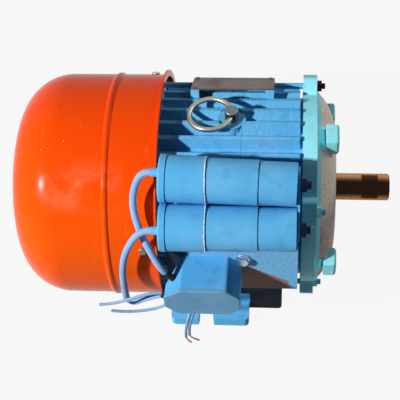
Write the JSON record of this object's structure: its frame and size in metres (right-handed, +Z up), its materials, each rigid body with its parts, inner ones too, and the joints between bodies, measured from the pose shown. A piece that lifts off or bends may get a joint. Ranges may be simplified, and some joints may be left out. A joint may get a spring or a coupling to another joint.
{
  "type": "ac induction motor",
  "caption": "Foot-mounted single-phase induction motor: finned blue frame, rounded orange fan cover, capacitors on its flank, terminal box, lifting ring and plain drive shaft.",
  "frame": {"origin": "on the shaft axis in the plane of the shaft shoulder, where the drive shaft leaves the drive end shield", "axes": "+X along the shaft toward the drive end, +Z up from the feet, the terminal box and the capacitors face -Y"},
  "size_m": [0.3889, 0.2745, 0.2577],
  "materials": {
    "blue_paint": "rough cast, brushed enamel",
    "lead_sleeve": "painted over sleeving",
    "orange_paint": "gloss enamel",
    "bare_steel": "turned",
    "rusty_nut": "dull red-brown",
    "zinc_steel": "galvanised",
    "nameplate_metal": "bare, dulled",
    "core_steel": "laminated",
    "cast_aluminium": "cast",
    "winding_copper": "enamelled copper",
    "terminal_brass": "plain",
    "board": "phenolic board",
    "black_rubber": "matt",
    "fan_plastic": "moulded",
    "bearing_steel": "ground",
    "pressed_steel": "pressed"
  },
  "bodies": {
    "motor_frame": {"stator_frame": "blue_paint", "drive_end_shield": "blue_paint", "fan_end_shield": "blue_paint", "tie_rods": "blue_paint", "near_foot": "blue_paint", "far_foot": "blue_paint", "terminal_box": "blue_paint", "terminal_box_lid": "blue_paint", "capacitor_bracket": "blue_paint", "upper_capacitor_sleeve": "blue_paint", "upper_capacitor_cap": "blue_paint", "lower_capacitor_sleeve": "blue_paint", "lower_capacitor_cap": "blue_paint", "bracket_screws": "blue_paint", "earth_bolt": "blue_paint", "eye_bolt": "blue_paint", "upper_capacitor_lead": "lead_sleeve", "lower_capacitor_lead": "lead_sleeve", "lower_lead_tails": "lead_sleeve", "upper_loose_lead": "lead_sleeve", "lower_loose_lead": "lead_sleeve", "hanging_lead_one": "lead_sleeve", "hanging_lead_two": "lead_sleeve", "fan_cover": "orange_paint", "tie_rod_nuts": "rusty_nut", "fan_cover_screws": "zinc_steel", "foot_bolts": "zinc_steel", "terminal_box_screws": "zinc_steel", "capacitor_nuts": "zinc_steel", "nameplate_rivets": "zinc_steel", "nameplate": "nameplate_metal", "stator_core": "core_steel", "capacitor_cans": "cast_aluminium", "slot_windings": "winding_copper", "end_windings": "winding_copper", "hanging_copper": "winding_copper", "terminal_studs": "terminal_brass", "terminal_board": "board", "switch_base": "board", "terminal_box_gasket": "black_rubber", "lead_grommets": "black_rubber", "shaft_seal": "black_rubber", "drive_bearing_outer": "bearing_steel", "fan_bearing_outer": "bearing_steel"},
    "rotor": {"shaft": "bare_steel", "rotor_core": "core_steel", "rotor_end_rings": "cast_aluminium", "cooling_fan": "fan_plastic", "drive_bearing_inner": "bearing_steel", "fan_bearing_inner": "bearing_steel", "governor_plate": "pressed_steel"},
    "drive_ball_set": {"drive_bearing_balls": "bearing_steel"},
    "fan_ball_set": {"fan_bearing_balls": "bearing_steel"},
    "governor_spool": {"governor_spool": "pressed_steel"},
    "flyweight_one": {"flyweight_one": "pressed_steel"},
    "flyweight_two": {"flyweight_two": "pressed_steel"},
    "contact_arm": {"contact_arm": "pressed_steel"},
    "lifting_ring": {"lifting_ring": "zinc_steel"}
  },
  "joints": [
    {"name": "rotor_spin", "type": "hinge", "parent": "motor_frame", "child": "rotor", "pos_m": [0, 0, 0], "axis": [1, 0, 0], "continuous": true},
    {"name": "drive_balls_roll", "type": "hinge", "parent": "motor_frame", "child": "drive_ball_set", "pos_m": [-0.019, 0, 0], "axis": [1, 0, 0], "continuous": true},
    {"name": "fan_balls_roll", "type": "hinge", "parent": "motor_frame", "child": "fan_ball_set", "pos_m": [-0.2045, 0, 0], "axis": [1, 0, 0], "continuous": true},
    {"name": "governor_slide", "type": "slide", "parent": "rotor", "child": "governor_spool", "axis": [1, 0, 0], "range_m": [0, 0.00377], "stiffness_N_per_m": 300},
    {"name": "flyweight_one_swing", "type": "hinge", "parent": "rotor", "child": "flyweight_one", "pos_m": [-0.176, 0, 0.03], "axis": [0, -1, 0], "range_deg": [0, 24.2]},
    {"name": "flyweight_two_swing", "type": "hinge", "parent": "rotor", "child": "flyweight_two", "pos_m": [-0.176, 0, -0.03], "axis": [0, 1, 0], "range_deg": [0, 24.2]},
    {"name": "contact_arm_swing", "type": "hinge", "parent": "motor_frame", "child": "contact_arm", "pos_m": [-0.18849, 0, 0.044], "axis": [0, -1, 0], "range_deg": [0, 9.49]},
    {"name": "ring_swing", "type": "hinge", "parent": "motor_frame", "child": "lifting_ring", "pos_m": [-0.1055, 0, 0.108], "axis": [0, 1, 0], "range_deg": [0, 175.13]}
  ],
  "couplings": [
    {"joint": "drive_balls_roll", "follows": "rotor_spin", "ratio": 0.3978},
    {"joint": "fan_balls_roll", "follows": "rotor_spin", "ratio": 0.3974},
    {"joint": "flyweight_one_swing", "follows": "governor_slide", "rad_per_m": 111.11},
    {"joint": "flyweight_two_swing", "follows": "governor_slide", "rad_per_m": 111.11},
    {"joint": "contact_arm_swing", "follows": "governor_slide", "rad_per_m": 43.478}
  ]
}
